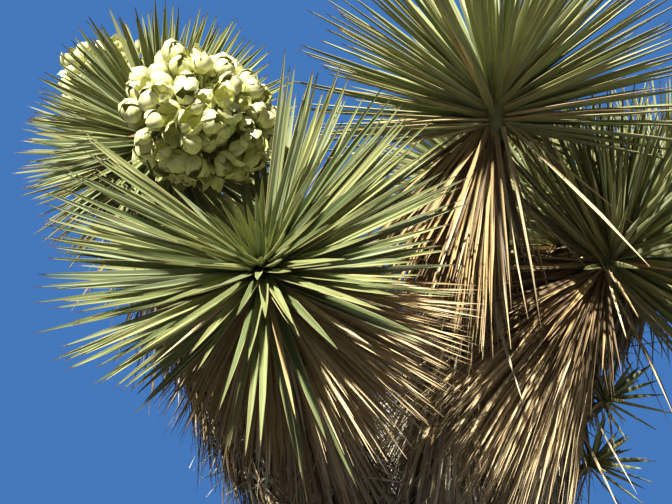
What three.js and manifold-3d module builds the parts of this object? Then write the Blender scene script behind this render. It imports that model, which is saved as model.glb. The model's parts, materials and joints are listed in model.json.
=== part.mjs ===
// A branching Joshua tree in flower, in millimetres, with +Z up.
// The origin is the middle of the flat cut at ground level, and -Y is the front.
import * as THREE from "three";
import { mergeVertices } from "three/addons/utils/BufferGeometryUtils.js";
import Module from "manifold-3d";

const wasm = await Module();
wasm.setup();

// Clearances between pieces: limbs and their masses, coats, and leaves
const GAP = 0.3;
const COAT_GAP = 3;
const LEAF_CLEARANCE = 0.5;

// The steps in which curved space is measured, and the height of faces too thin to keep
const TAKEN_STEP = 40;
const SLIVER = 0.1;
const MERGE_WITHIN = 1e-3;

// All that varies comes from one seed, and leaves turn round their stem by the golden angle
const SEED = 21;
const RANDOM = { multiplier: 1664525, increment: 1013904223, range: 2 ** 32 };
const GOLDEN_ANGLE = Math.PI * (3 - Math.sqrt(5));

// Trunk
const TRUNK = {
  top: [45, -5, 1575],
  bend: 0.55,
  footRadius: 112,
  topRadius: 82,
  flare: 88,
  flareHeight: 150,
  lobes: 5,
  lobeDepth: 0.16,
  sides: 15,
  steps: 10,
};

// Boughs. A heart is the middle of the bough's head of leaves, and aim is the way its tip points.
// Open is how far the head's leaves open from that aim, and reach how long they are for their kind.
const BOUGHS = {
  left_fork: {
    on: "trunk", at: 0.965, leave: [-0.5, -0.15, 0.85], tip: [-185, -78, 1738],
    aim: [-0.68, -0.35, 0.64], girth: [66, 54], coat: 92,
  },
  front: {
    on: "left_fork", at: 0.86, leave: [-0.3, -0.75, 0.58], heart: [-333, -629, 2062],
    aim: [-0.08, -1.0, 0.16], girth: [48, 23], open: 110, reach: 1.04,
  },
  flowering_left: {
    on: "left_fork", at: 0.9, leave: [-0.92, 0.1, 0.38], heart: [-513, -460, 2357],
    aim: [0.16, -0.98, 0.02], girth: [50, 23], open: 110, reach: 0.75,
  },
  flowering_back: {
    on: "flowering_left", at: 0.38, leave: [-0.3, 0.5, 0.8], heart: [-605, -78, 2500],
    aim: [-0.5, 0.1, 0.86], girth: [42, 22], reach: 0.86,
  },
  middle: {
    on: "trunk", at: 0.98, leave: [-0.52, -0.3, 0.8], heart: [36, -525, 2389],
    aim: [0.07, -0.66, 0.75], girth: [56, 24], open: 88, reach: 1.08,
  },
  right: {
    on: "trunk", at: 0.975, leave: [0.55, -0.35, 0.8], heart: [267, -327, 2198],
    aim: [0.66, -0.48, 0.57], girth: [54, 24], open: 92,
  },
  far_right: {
    on: "right", at: 0.6, leave: [0.2, 0.5, 0.84], heart: [436, -100, 2330],
    aim: [0.66, -0.16, 0.73], girth: [38, 22],
  },
  back_fork: {
    on: "trunk", at: 0.955, leave: [0.05, 0.6, 0.8], tip: [40, 168, 1786],
    aim: [0.08, 0.55, 0.83], girth: [64, 52], coat: 90,
  },
  inner: {
    on: "back_fork", at: 0.84, leave: [0.72, 0.1, 0.68], heart: [262, 96, 2395],
    aim: [0.2, 0.25, 0.94], girth: [42, 22],
  },
  back: {
    on: "back_fork", at: 0.92, leave: [0.1, 0.45, 0.88], heart: [136, 358, 2640],
    aim: [0.0, 0.36, 0.93], girth: [48, 23],
  },
  back_left: {
    on: "back_fork", at: 0.8, leave: [-0.72, 0.4, 0.57], heart: [-425, 386, 2450],
    aim: [-0.45, 0.52, 0.72], girth: [46, 23],
  },
  shoot_upper: {
    on: "right", at: 0.56, leave: [0.9, -0.15, 0.4], heart: [250, -210, 1962],
    aim: [0.75, -0.2, 0.62], girth: [13, 10], shoot: true,
  },
  shoot_lower: {
    on: "right", at: 0.4, leave: [0.92, -0.2, 0.35], heart: [222, -176, 1856],
    aim: [0.8, -0.25, 0.54], girth: [13, 10], shoot: true,
  },
};
const BOUGH = { handle: 0.33, sides: 7, steps: 6, shootSteps: 2 };
const EMERGES = { first: 0.06, last: 0.5, step: 0.02, inCoat: 0.8, samples: 40 };

// Heads of living leaves, and the small heads of the side shoots
const HEAD = {
  leaves: 40, leaf: 322, width: 28, thick: 8, youngest: 0.4, youngShare: 0.2,
  openAngle: 120, coreLength: 100, coreRadius: 32, topRadius: 12, below: 58, sides: 7,
};
const BUD_PROFILE = { bulge: 0.35, shoulder: 0.75 };
const BUD_TAKEN = { from: 0.25, to: 0.75 };
const LEAF_ROOTS = { highest: 0.3, lowest: 0.74 };
const LEAF_VARIES = { lean: 0.04, turn: 0.12, length: 0.05 };
const SHOOT_HEAD = {
  leaves: 8, leaf: 125, width: 14, thick: 5, youngest: 0.6, youngShare: 0.2,
  openAngle: 95, coreLength: 34, coreRadius: 14, topRadius: 4, below: 12, sides: 6,
};
const WIDEST_LEAF = 0.42;
const BARE_LEAF = 0.13;
const SHORTENED = [1, 0.82, 0.64];

// Coats of dead leaves: a skirt hangs below each head, and thatch lies on the older limb
const SKIRT = {
  from: 0.72, to: 0.985, radiusLow: 50, radiusHigh: 30, leaves: 9, leaf: 270,
  width: 26, thick: 7, flare: 32, hang: 0.3, tiers: 2, sides: 8,
};
const THATCH_TO = 0.71;
const THATCH = {
  radiusLow: 74, radiusHigh: 56, leaf: 205, width: 28, thick: 8, flare: 18, hang: 0.16,
  tierLength: 175, leafSpacing: 100, sides: 8,
};
const FORK_SHARE = 0.94;
const TRUNK_THATCH = {
  from: 0.36, to: 0.965, radiusLow: 124, radiusHigh: 116, tierLength: 240, sides: 12,
};
const TIER = { point: 1.17, notch: 1.02, tuck: 0.9, drop: 22, tuckShare: 0.9 };
const WIDEST_DEAD = 0.45;
const SUNK = 0.84;
const DEAD_VARIES = { turn: 0.25, flare: 6, length: 0.12, usual: 0.92 };

// Flowers
const PANICLES = {
  flowering_left: { length: 268, radius: 100, flowers: 15, lean: [0.37, 0, -0.39] },
  flowering_back: { length: 265, radius: 80, flowers: 11, lean: [0, 0, 0.06] },
};
const PANICLE_SHAPE = [
  [0, 0], [0.12, 0], [0.16, 0.2], [0.72, 0.36], [0.86, 0.6], [0.62, 0.84], [0, 0.97],
];
const PANICLE = { sides: 8, stalkSunk: 4, crowdLow: 0.42, crowdHigh: 0.74, stalk: 0.2 };
const FLOWER = { radius: 36, varies: 0.12, spread: 0.86, middle: 0.58, reach: 0.33 };
const OLD_STALK = {
  on: "middle", at: 0.7, aim: [0.3, 0.2, 0.93], length: 300, radius: 9, endRadius: 4.5,
  bare: 0.12, sides: 6,
};
const SPUR = { count: 5, lowest: 0.5, highest: 0.96, length: 44, rise: 0.7, width: 13, thick: 9 };
const WIDEST_SPUR = 0.7;

const MATERIALS = {
  bark: { color: 0x6f6255, roughness: 0.95 },
  thatch: { color: 0xa39578, roughness: 0.9 },
  skirt: { color: 0xb3965f, roughness: 0.85 },
  leaf: { color: 0x8b9a58, roughness: 0.6 },
  flower: { color: 0xdedfae, roughness: 0.55 },
  old_stalk: { color: 0x8a6a4a, roughness: 0.9 },
};

let randomState = SEED;
function random() {
  randomState = (Math.imul(randomState, RANDOM.multiplier) + RANDOM.increment) >>> 0;
  return randomState / RANDOM.range;
}

function jitter(size) {
  return size * (2 * random() - 1);
}

function vector(values) {
  return new THREE.Vector3(...values);
}

function mix(low, high, share) {
  return low + (high - low) * share;
}

// A three.js geometry as a solid, with its shared vertices merged
function solidOf(geometry) {
  const bare = new THREE.BufferGeometry();
  bare.setAttribute("position", geometry.getAttribute("position"));
  bare.setIndex(geometry.index);
  const merged = mergeVertices(bare, MERGE_WITHIN);
  const mesh = new wasm.Mesh({
    numProp: 3,
    vertProperties: merged.attributes.position.array,
    triVerts: new Uint32Array(merged.index.array),
  });
  return new wasm.Manifold(mesh);
}

// The largest body of a solid: a scrap that a cut leaves loose is dropped
function largest(solid) {
  const bodies = solid.decompose();
  bodies.sort((one, other) => other.volume() - one.volume());
  return bodies[0];
}

function cutBy(solid, others) {
  return largest(others.reduce((left, other) => left.subtract(other), solid));
}

// Two directions square to a way
function squareTo(way) {
  const normal = Math.abs(way.x) < 0.9 ? vector([1, 0, 0]) : vector([0, 1, 0]);
  normal.addScaledVector(way, -normal.dot(way)).normalize();
  return { normal, across: new THREE.Vector3().crossVectors(normal, way) };
}

// The direction square to a frame's way at a turn round it
function spoke(frame, turn) {
  const out = frame.normal.clone().multiplyScalar(Math.cos(turn));
  return out.addScaledVector(frame.across, Math.sin(turn));
}

// Places along a curve, each with its way and a normal that turns as little as it can
function framesAlong(curve, shares) {
  let { normal } = squareTo(curve.getTangentAt(shares[0]));
  return shares.map((share) => {
    const way = curve.getTangentAt(share);
    normal = normal.clone().addScaledVector(way, -normal.dot(way)).normalize();
    const across = new THREE.Vector3().crossVectors(normal, way);
    return { point: curve.getPointAt(share), way, normal, across };
  });
}

// A closed tube through rings on a curve. swell makes it larger all over, to cut others clear of it.
function tube({ curve, rings, sides }, swell = 0) {
  const steps = rings.length - 1;
  const frames = framesAlong(curve, rings.map((ring) => ring.share));
  const geometry = new THREE.CylinderGeometry(1, 1, 1, sides, steps);
  const position = geometry.getAttribute("position");
  for (let i = 0; i < position.count; i += 1) {
    const turn = Math.atan2(position.getZ(i), position.getX(i));
    const corner = Math.round(((Math.PI / 2 - turn) * sides) / (2 * Math.PI)) & 1;
    const onAxis = Math.hypot(position.getX(i), position.getZ(i)) < 0.5;
    const step = Math.round((position.getY(i) + 0.5) * steps);
    const { radius, drop } = rings[step].at(turn, corner);
    const end = step === 0 ? -swell : step === steps ? swell : 0;
    const place = frames[step].point
      .clone()
      .addScaledVector(frames[step].way, onAxis ? end : end - drop)
      .addScaledVector(spoke(frames[step], turn), onAxis ? 0 : radius + swell);
    position.setXYZ(i, place.x, place.y, place.z);
  }
  return solidOf(geometry);
}

function evenRings(from, to, steps, radiusAt) {
  return Array.from({ length: steps + 1 }, (_, i) => {
    const share = mix(from, to, i / steps);
    return { share, at: (turn) => ({ radius: radiusAt(share, turn), drop: 0 }) };
  });
}

// A leaf is a flat spindle of eight faces from its root to its tip
function blade({ root, tip, faces, width, thick, widest }) {
  const along = tip.clone().sub(root);
  const side = new THREE.Vector3().crossVectors(along, faces).normalize();
  const up = new THREE.Vector3().crossVectors(side, along).normalize();
  const spindle = new THREE.OctahedronGeometry(1);
  const position = spindle.getAttribute("position");
  for (let i = 0; i < position.count; i += 1) {
    const height = position.getY(i);
    const share = height > 0.5 ? 1 : height < -0.5 ? 0 : widest;
    const place = root
      .clone()
      .addScaledVector(along, share)
      .addScaledVector(side, (position.getX(i) * width) / 2)
      .addScaledVector(up, (position.getZ(i) * thick) / 2);
    position.setXYZ(i, place.x, place.y, place.z);
  }
  return solidOf(spindle);
}

// The space that is taken: straight stretches with a radius, each owned by a node
const taken = [];

function take(owner, start, end, radius) {
  taken.push({ owner, line: new THREE.Line3(start.clone(), end.clone()), radius });
}

function takeAlong(owner, curve, from, to, radiusAt) {
  const steps = Math.max(1, Math.round(((to - from) * curve.getLength()) / TAKEN_STEP));
  for (let i = 0; i < steps; i += 1) {
    const low = mix(from, to, i / steps);
    const high = mix(from, to, (i + 1) / steps);
    take(owner, curve.getPointAt(low), curve.getPointAt(high), radiusAt(low));
  }
}

function isClear(owners, start, end, radius) {
  const line = new THREE.Line3(start, end);
  return taken.every((other) => {
    if (owners.includes(other.owner)) return true;
    const reach = radius + other.radius + LEAF_CLEARANCE;
    return line.distanceSqToLine3(other.line) > reach * reach;
  });
}

const group = new THREE.Group();

// A node's mesh, without the sliver faces that cuts leave
function addNode(name, solid, material) {
  const { numProp, vertProperties, triVerts } = largest(solid.simplify(SLIVER)).getMesh();
  const geometry = new THREE.BufferGeometry();
  geometry.setAttribute("position", new THREE.BufferAttribute(vertProperties, numProp));
  geometry.setIndex(new THREE.BufferAttribute(triVerts, 1));
  geometry.computeVertexNormals();
  const mesh = new THREE.Mesh(geometry, new THREE.MeshStandardMaterial(MATERIALS[material]));
  mesh.name = name;
  group.add(mesh);
}

// The trunk flares into rounded roots at the ground and leans a little
function makeTrunk() {
  const top = vector(TRUNK.top);
  const upright = new THREE.Vector3(0, 0, top.z * TRUNK.bend);
  const curve = new THREE.QuadraticBezierCurve3(new THREE.Vector3(), upright, top);
  const radiusAt = (share, turn) => {
    const fall = Math.exp((-share * top.z) / TRUNK.flareHeight);
    const lobe = 1 + TRUNK.lobeDepth * fall * Math.cos(TRUNK.lobes * turn);
    return (mix(TRUNK.footRadius, TRUNK.topRadius, share) + TRUNK.flare * fall) * lobe;
  };
  const rings = evenRings(0, 1, TRUNK.steps, radiusAt);
  return { name: "trunk", curve, rings, sides: TRUNK.sides, radiusAt };
}

// A bough is one tapering limb that leaves its parent one way and arrives along its aim
function makeBough(name, plan, parent) {
  const aim = vector(plan.aim).normalize();
  const head = plan.shoot ? SHOOT_HEAD : HEAD;
  const start = parent.curve.getPointAt(plan.at);
  const tip = plan.tip ? vector(plan.tip) : vector(plan.heart).addScaledVector(aim, -head.below);
  const handle = start.distanceTo(tip) * BOUGH.handle;
  const curve = new THREE.CubicBezierCurve3(
    start,
    start.clone().addScaledVector(vector(plan.leave).normalize(), handle),
    tip.clone().addScaledVector(aim, -handle),
    tip,
  );
  const [base, end] = plan.girth;
  const steps = plan.shoot ? BOUGH.shootSteps : BOUGH.steps;
  const radiusAt = (share) => mix(base, end, Math.sqrt(share));
  const rings = evenRings(0, 1, steps, radiusAt);
  const { sides } = BOUGH;
  return { name: "bough_" + name, parent, plan, aim, tip, curve, rings, sides, radiusAt };
}

const trunk = makeTrunk();
const boughs = new Map();
for (const [name, plan] of Object.entries(BOUGHS)) {
  boughs.set(name, makeBough(name, plan, plan.on === "trunk" ? trunk : boughs.get(plan.on)));
}
const leafy = [...boughs].filter(([, bough]) => bough.plan.heart);
const grown = [...boughs].filter(([, bough]) => !bough.plan.shoot);

// Each limb is cut clear of those before it
const limbCutters = [];
for (const limb of [trunk, ...boughs.values()]) {
  addNode(limb.name, cutBy(tube(limb), limbCutters), "bark");
  takeAlong(limb.name, limb.curve, 0, 1, (share) => limb.radiusAt(share, 0));
  limbCutters.push(tube(limb, GAP));
}

// A lathed solid that stands at a foot and points along an aim
function lathed(profile, sides, foot, aim) {
  const points = profile.map(([radius, height]) => new THREE.Vector2(radius, height));
  const geometry = new THREE.LatheGeometry(points, sides);
  geometry.applyQuaternion(
    new THREE.Quaternion().setFromUnitVectors(new THREE.Vector3(0, 1, 0), aim),
  );
  geometry.translate(foot.x, foot.y, foot.z);
  return solidOf(geometry);
}

// The bud in the middle of a head, which stands on its bough's tip
function makeBud(bough, swell = 0) {
  const { aim, tip, plan } = bough;
  const look = plan.shoot ? SHOOT_HEAD : HEAD;
  const { coreLength, coreRadius, topRadius, sides } = look;
  const foot = tip.clone().addScaledVector(aim, GAP);
  const profile = [
    [0, -swell],
    [plan.girth[1] + swell, -swell],
    [coreRadius + swell, coreLength * BUD_PROFILE.bulge],
    [coreRadius * BUD_PROFILE.shoulder + swell, coreLength * BUD_PROFILE.shoulder],
    [topRadius + swell, coreLength + swell],
    [0, coreLength + swell],
  ];
  const solid = lathed(profile, sides, foot, aim);
  return { solid, look, plan, aim, foot, top: foot.clone().addScaledVector(aim, coreLength) };
}

const buds = new Map();
for (const [name, bough] of leafy) {
  const bud = makeBud(bough);
  buds.set(name, bud);
  const low = bud.foot.clone().lerp(bud.top, BUD_TAKEN.from);
  const high = bud.foot.clone().lerp(bud.top, BUD_TAKEN.to);
  take("head_" + name, low, high, bud.look.coreRadius);
}

// The share along a bough where it comes out of its parent's coat
function outOf(bough, radius) {
  const parentPoints = bough.parent.curve.getSpacedPoints(EMERGES.samples);
  for (let share = EMERGES.first; share < EMERGES.last; share += EMERGES.step) {
    const point = bough.curve.getPointAt(share);
    if (parentPoints.every((other) => other.distanceTo(point) > radius)) return share;
  }
  return EMERGES.last;
}

// A coat is a sleeve of overlapping tiers whose lower edges end in points
function tierRings(from, to, tiers, radiusLow, radiusHigh) {
  const rings = [];
  for (let i = 0; i < tiers; i += 1) {
    const low = mix(from, to, i / tiers);
    const high = mix(from, to, (i + TIER.tuckShare) / tiers);
    const radius = mix(radiusLow, radiusHigh, i / tiers);
    const edge = (turn, corner) =>
      corner === 0
        ? { radius: radius * TIER.point, drop: TIER.drop }
        : { radius: radius * TIER.notch, drop: 0 };
    rings.push({ share: low, at: edge });
    rings.push({ share: high, at: () => ({ radius: radius * TIER.tuck, drop: 0 }) });
  }
  return rings;
}

const coats = [];
function planCoat(name, limb, look) {
  const { from, to, radiusLow, radiusHigh, sides } = look;
  const length = limb.curve.getLength() * (to - from);
  const tiers = look.tiers ?? Math.max(2, Math.round(length / look.tierLength));
  const leaves = look.leaves ?? Math.round(length / look.leafSpacing);
  const rings = tierRings(from, to, tiers, radiusLow, radiusHigh);
  const outerAt = (share) =>
    TIER.point * mix(radiusLow, radiusHigh, Math.max(0, (share - from) / (to - from)));
  coats.push({ name, limb, look, leaves, rings, sides, outerAt, curve: limb.curve });
  takeAlong(name, limb.curve, from - TIER.drop / limb.curve.getLength(), to, outerAt);
}

planCoat("thatch_trunk", trunk, { ...THATCH, ...TRUNK_THATCH });
for (const [name, bough] of grown) {
  const parentRadius = bough.parent === trunk ? TRUNK_THATCH.radiusHigh : THATCH.radiusLow;
  const from = outOf(bough, parentRadius * EMERGES.inCoat);
  const { coat } = bough.plan;
  const radii = coat ? { radiusLow: coat, radiusHigh: coat } : {};
  const to = coat ? FORK_SHARE : THATCH_TO;
  planCoat("thatch_" + name, bough, { ...THATCH, ...radii, from, to });
  if (!coat) planCoat("skirt_" + name, bough, SKIRT);
}

// A dead leaf points back down its limb, outward, and down under its own weight
function deadLeaf(coat, index) {
  const { curve, look, leaves } = coat;
  const along = (index + 0.5) / leaves;
  const [frame] = framesAlong(curve, [mix(look.to, look.from, along)]);
  const out = spoke(frame, index * GOLDEN_ANGLE + jitter(DEAD_VARIES.turn));
  const flare = THREE.MathUtils.degToRad(look.flare + jitter(DEAD_VARIES.flare));
  const way = out
    .clone()
    .multiplyScalar(Math.sin(flare))
    .addScaledVector(frame.way, -Math.cos(flare));
  way.z -= look.hang;
  way.normalize();
  const surface = mix(look.radiusHigh, look.radiusLow, along);
  const root = frame.point.clone().addScaledVector(out, surface * SUNK);
  const length = look.leaf * (DEAD_VARIES.usual + jitter(DEAD_VARIES.length));
  return { root, tip: root.clone().addScaledVector(way, length), faces: out };
}

// The leaf as long as its space lets it be, or nothing where it would touch another node
function fitLeaf(owners, { root, tip, faces }, look, widest, bare) {
  for (const share of SHORTENED) {
    const end = root.clone().lerp(tip, share);
    const outer = root.clone().lerp(end, bare);
    if (isClear(owners, outer, end, look.width / 2)) {
      take(owners[0], outer, end, look.width / 2);
      return blade({ root, tip: end, faces, width: look.width, thick: look.thick, widest });
    }
  }
  return null;
}

const coatCutters = [];
function growCoat(coat) {
  let solid = cutBy(tube(coat), [...limbCutters, ...coatCutters]);
  const { curve, look, sides, outerAt, limb, name, rings } = coat;
  for (let index = 0; index < coat.leaves; index += 1) {
    const leaf = fitLeaf([name, limb.name], deadLeaf(coat, index), look, WIDEST_DEAD, 0);
    if (leaf) solid = largest(solid.add(cutBy(leaf, limbCutters)));
  }
  const plain = rings.map(({ share, at }) => ({
    share,
    at: (turn) => ({ radius: outerAt(share), drop: at(turn, 0).drop }),
  }));
  coatCutters.push(tube({ curve, rings: plain, sides }, COAT_GAP));
  return solid;
}

// Living leaves stand out all round the bud, the youngest short and near its tip
function livingLeaf({ look, plan, aim, foot, top }, index) {
  const share = (index + 0.5) / look.leaves;
  const open = THREE.MathUtils.degToRad(plan.open ?? look.openAngle);
  const lean = Math.acos(1 - share * (1 - Math.cos(open))) + jitter(LEAF_VARIES.lean);
  const out = spoke(squareTo(aim), index * GOLDEN_ANGLE + jitter(LEAF_VARIES.turn));
  const way = out.clone().multiplyScalar(Math.sin(lean)).addScaledVector(aim, Math.cos(lean));
  const faces = aim.clone().multiplyScalar(Math.sin(lean)).addScaledVector(out, -Math.cos(lean));
  const root = top.clone().lerp(foot, mix(LEAF_ROOTS.highest, LEAF_ROOTS.lowest, share));
  const young = Math.min(1, share / look.youngShare);
  const fullLength = look.leaf * (plan.reach ?? 1) * (1 + jitter(LEAF_VARIES.length));
  const length = fullLength * mix(look.youngest, 1, young);
  return { root, tip: root.clone().addScaledVector(way, length), faces };
}

function growHead(name, bud) {
  let { solid } = bud;
  const owners = ["head_" + name, "bough_" + name];
  for (let index = 0; index < bud.look.leaves; index += 1) {
    const leaf = fitLeaf(owners, livingLeaf(bud, index), bud.look, WIDEST_LEAF, BARE_LEAF);
    if (leaf) solid = solid.add(leaf);
  }
  return largest(solid);
}

// A panicle is a stalk from the bud's tip that ends in an egg-shaped crowd of flowers
function growPanicle(bough, plan) {
  const bud = buds.get(bough);
  const name = "panicle_" + bough;
  const aim = bud.aim.clone().add(vector(plan.lean)).normalize();
  const foot = bud.top.clone().addScaledVector(bud.aim, -PANICLE.stalkSunk);
  const profile = PANICLE_SHAPE.map(([radius, height]) => [
    radius * plan.radius,
    height * plan.length,
  ]);
  let solid = lathed(profile, PANICLE.sides, foot, aim);
  const around = squareTo(aim);
  for (let index = 0; index < plan.flowers; index += 1) {
    const height = 1 - (2 * (index + 0.5)) / plan.flowers;
    const ring = Math.sqrt(1 - height * height) * plan.radius * FLOWER.spread;
    const place = foot
      .clone()
      .addScaledVector(aim, plan.length * (FLOWER.middle + FLOWER.reach * height))
      .addScaledVector(spoke(around, index * GOLDEN_ANGLE), ring);
    const radius = FLOWER.radius * (1 + jitter(FLOWER.varies));
    const flower = new THREE.IcosahedronGeometry(radius, 0);
    flower.translate(place.x, place.y, place.z);
    solid = solid.add(solidOf(flower));
  }
  const low = foot.clone().addScaledVector(aim, plan.length * PANICLE.crowdLow);
  const high = foot.clone().addScaledVector(aim, plan.length * PANICLE.crowdHigh);
  take(name, low, high, plan.radius * FLOWER.spread + FLOWER.radius);
  take(name, foot, low, plan.radius * PANICLE.stalk);
  addNode(name, cutBy(solid, [makeBud(boughs.get(bough), GAP).solid]), "flower");
}

// The dry stalk of an earlier year's flowers, beside the bud that took its place
function growOldStalk() {
  const bough = boughs.get(OLD_STALK.on);
  const { foot, top } = buds.get(OLD_STALK.on);
  const start = foot.clone().lerp(top, OLD_STALK.at);
  const end = start.clone().addScaledVector(vector(OLD_STALK.aim).normalize(), OLD_STALK.length);
  const curve = new THREE.LineCurve3(start, end);
  const radiusAt = (share) => mix(OLD_STALK.radius, OLD_STALK.endRadius, share);
  let solid = tube({ curve, rings: evenRings(0, 1, 2, radiusAt), sides: OLD_STALK.sides });
  for (let index = 0; index < SPUR.count; index += 1) {
    const [frame] = framesAlong(curve, [mix(SPUR.lowest, SPUR.highest, index / SPUR.count)]);
    const way = spoke(frame, index * GOLDEN_ANGLE).addScaledVector(frame.way, SPUR.rise);
    const tip = frame.point.clone().addScaledVector(way.normalize(), SPUR.length);
    const spur = { ...SPUR, root: frame.point, tip, faces: frame.way, widest: WIDEST_SPUR };
    solid = solid.add(blade(spur));
    take("old_stalk", frame.point, tip, SPUR.width / 2);
  }
  take("old_stalk", start.clone().lerp(end, OLD_STALK.bare), end, OLD_STALK.radius);
  addNode("old_stalk", cutBy(solid, [makeBud(bough, GAP).solid]), "old_stalk");
}

for (const [name, plan] of Object.entries(PANICLES)) growPanicle(name, plan);
growOldStalk();
for (const [name, bud] of buds) addNode("head_" + name, growHead(name, bud), "leaf");
for (const coat of coats) {
  addNode(coat.name, growCoat(coat), coat.name.startsWith("skirt") ? "skirt" : "thatch");
}

export default group;
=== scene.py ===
# A branching Joshua tree in flower. Lengths are metres, +Z is up and -Y is the front.
import json
import math
from types import SimpleNamespace as Table

import bpy
import numpy as np
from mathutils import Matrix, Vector

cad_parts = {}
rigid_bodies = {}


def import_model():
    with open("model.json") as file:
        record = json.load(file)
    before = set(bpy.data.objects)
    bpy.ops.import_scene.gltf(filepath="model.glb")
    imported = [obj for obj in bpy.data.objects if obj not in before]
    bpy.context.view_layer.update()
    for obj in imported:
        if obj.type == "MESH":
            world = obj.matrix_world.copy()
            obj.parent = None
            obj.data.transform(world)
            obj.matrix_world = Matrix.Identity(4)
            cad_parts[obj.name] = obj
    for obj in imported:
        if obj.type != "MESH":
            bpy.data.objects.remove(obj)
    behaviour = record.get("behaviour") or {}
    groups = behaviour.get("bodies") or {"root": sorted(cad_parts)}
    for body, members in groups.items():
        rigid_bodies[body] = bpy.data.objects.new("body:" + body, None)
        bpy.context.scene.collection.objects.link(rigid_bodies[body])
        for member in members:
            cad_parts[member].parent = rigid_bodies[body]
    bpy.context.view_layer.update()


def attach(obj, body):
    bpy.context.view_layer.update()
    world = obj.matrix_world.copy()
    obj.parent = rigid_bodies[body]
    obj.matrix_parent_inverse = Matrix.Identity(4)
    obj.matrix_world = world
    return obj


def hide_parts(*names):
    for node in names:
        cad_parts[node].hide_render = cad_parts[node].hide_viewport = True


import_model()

# The view, with the camera below the crown and looking up at it
CAMERA_PLACE = (-0.226, -2.255, 1.5)
CAMERA_PITCH = 20
CAMERA_HALF_ANGLE = 16
SENSOR_WIDTH = 36

# Light
SUN_FROM = (-0.28, -0.69, 0.66)
SUN_STRENGTH = 11.5
SUN_ANGLE = 1.5
SUN_COLOUR = (1.0, 0.955, 0.87)
FILL_COLOUR = (0.8, 0.83, 0.86)
FILL_STRENGTH = 0.13
BACKDROP_COLOUR = (0.06, 0.19, 0.5)
FLOOR_SIZE = 14
FLOOR_COLOUR = (0.3, 0.29, 0.27)
FLOOR_ROUGHNESS = 0.9
FLOOR_HEIGHT = -0.001

# Trunk
TRUNK_TOP = (0.045, -0.005, 1.575)
TRUNK_BEND = 0.55
TRUNK_FOOT_RADIUS = 0.112
TRUNK_TOP_RADIUS = 0.082
FLARE = 0.088
FLARE_HEIGHT = 0.15
LOBES = 5
LOBE_DEPTH = 0.16

# Boughs. A heart is the middle of the bough's head of leaves, and aim is the way its tip points.
# Open is the angle from the aim that its leaves reach, turning counts those that are bent back,
# and rosette is the leaves' own aim where it isn't the bough's.
BOUGHS = {
    "left_fork": dict(
        on="trunk", at=0.965, leave=(-0.5, -0.15, 0.85), tip=(-0.185, -0.078, 1.738),
        aim=(-0.68, -0.35, 0.64), girth=(0.066, 0.054), coat=0.092,
    ),
    "front": dict(
        on="left_fork", at=0.86, leave=(-0.3, -0.75, 0.58), heart=(-0.333, -0.629, 2.062),
        aim=(-0.08, -1.0, 0.16), girth=(0.048, 0.023), open=104, reach=1.05, turning=14,
    ),
    "flowering_left": dict(
        on="left_fork", at=0.9, leave=(-0.92, 0.1, 0.38), heart=(-0.513, -0.46, 2.357),
        aim=(0.16, -0.98, 0.02), girth=(0.05, 0.023), open=106, reach=0.75, turning=12,
    ),
    "flowering_back": dict(
        on="flowering_left", at=0.38, leave=(-0.3, 0.5, 0.8), heart=(-0.605, -0.078, 2.5),
        aim=(-0.5, 0.1, 0.86), girth=(0.042, 0.022), reach=0.86, turning=12,
    ),
    "middle": dict(
        on="trunk", at=0.98, leave=(-0.52, -0.3, 0.8), heart=(0.036, -0.525, 2.389),
        aim=(0.07, -0.66, 0.75), girth=(0.056, 0.024), open=98, reach=1.08, turning=20,
        rosette=(0.03, -0.44, 0.9), skirt=dict(start=0.5, leaves=700),
    ),
    "right": dict(
        on="trunk", at=0.975, leave=(0.55, -0.35, 0.8), heart=(0.267, -0.327, 2.198),
        aim=(0.66, -0.48, 0.57), girth=(0.054, 0.024), open=98, turning=12,
    ),
    "far_right": dict(
        on="right", at=0.6, leave=(0.2, 0.5, 0.84), heart=(0.436, -0.1, 2.33),
        aim=(0.66, -0.16, 0.73), girth=(0.038, 0.022), turning=16,
        skirt=dict(leaves=260, leaf=0.17),
    ),
    "back_fork": dict(
        on="trunk", at=0.955, leave=(0.05, 0.6, 0.8), tip=(0.04, 0.168, 1.786),
        aim=(0.08, 0.55, 0.83), girth=(0.064, 0.052), coat=0.09,
    ),
    "inner": dict(
        on="back_fork", at=0.84, leave=(0.72, 0.1, 0.68), heart=(0.262, 0.096, 2.395),
        aim=(0.2, 0.25, 0.94), girth=(0.042, 0.022),
    ),
    "back": dict(
        on="back_fork", at=0.92, leave=(0.1, 0.45, 0.88), heart=(0.136, 0.358, 2.64),
        aim=(0.0, 0.36, 0.93), girth=(0.048, 0.023),
    ),
    "back_left": dict(
        on="back_fork", at=0.8, leave=(-0.72, 0.4, 0.57), heart=(-0.425, 0.386, 2.45),
        aim=(-0.45, 0.52, 0.72), girth=(0.046, 0.023),
    ),
    "shoot_upper": dict(
        on="right", at=0.56, leave=(0.9, -0.15, 0.4), heart=(0.25, -0.21, 1.962),
        aim=(0.75, -0.2, 0.62), girth=(0.013, 0.01), shoot=True,
    ),
    "shoot_lower": dict(
        on="right", at=0.4, leave=(0.92, -0.2, 0.35), heart=(0.222, -0.176, 1.856),
        aim=(0.8, -0.25, 0.54), girth=(0.013, 0.01), shoot=True,
    ),
}
BOUGH_HANDLE = 0.33
CURVE_STEPS = 200

# Heads of living leaves. Lengths of leaf and bud are the source's, and the leaves are finer.
HEAD = dict(
    leaves=350, leaf=0.318, width=0.0128, youngest=0.42, young_share=0.16, first=0.035,
    open_angle=118, core_length=0.1, core_radius=0.03, below=0.058, spears=14, turning=50,
)
SHOOT_HEAD = dict(
    leaves=26, leaf=0.125, width=0.01, youngest=0.5, young_share=0.2, first=0.02,
    open_angle=100, core_length=0.034, core_radius=0.011, below=0.012, spears=4, turning=4,
)

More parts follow.
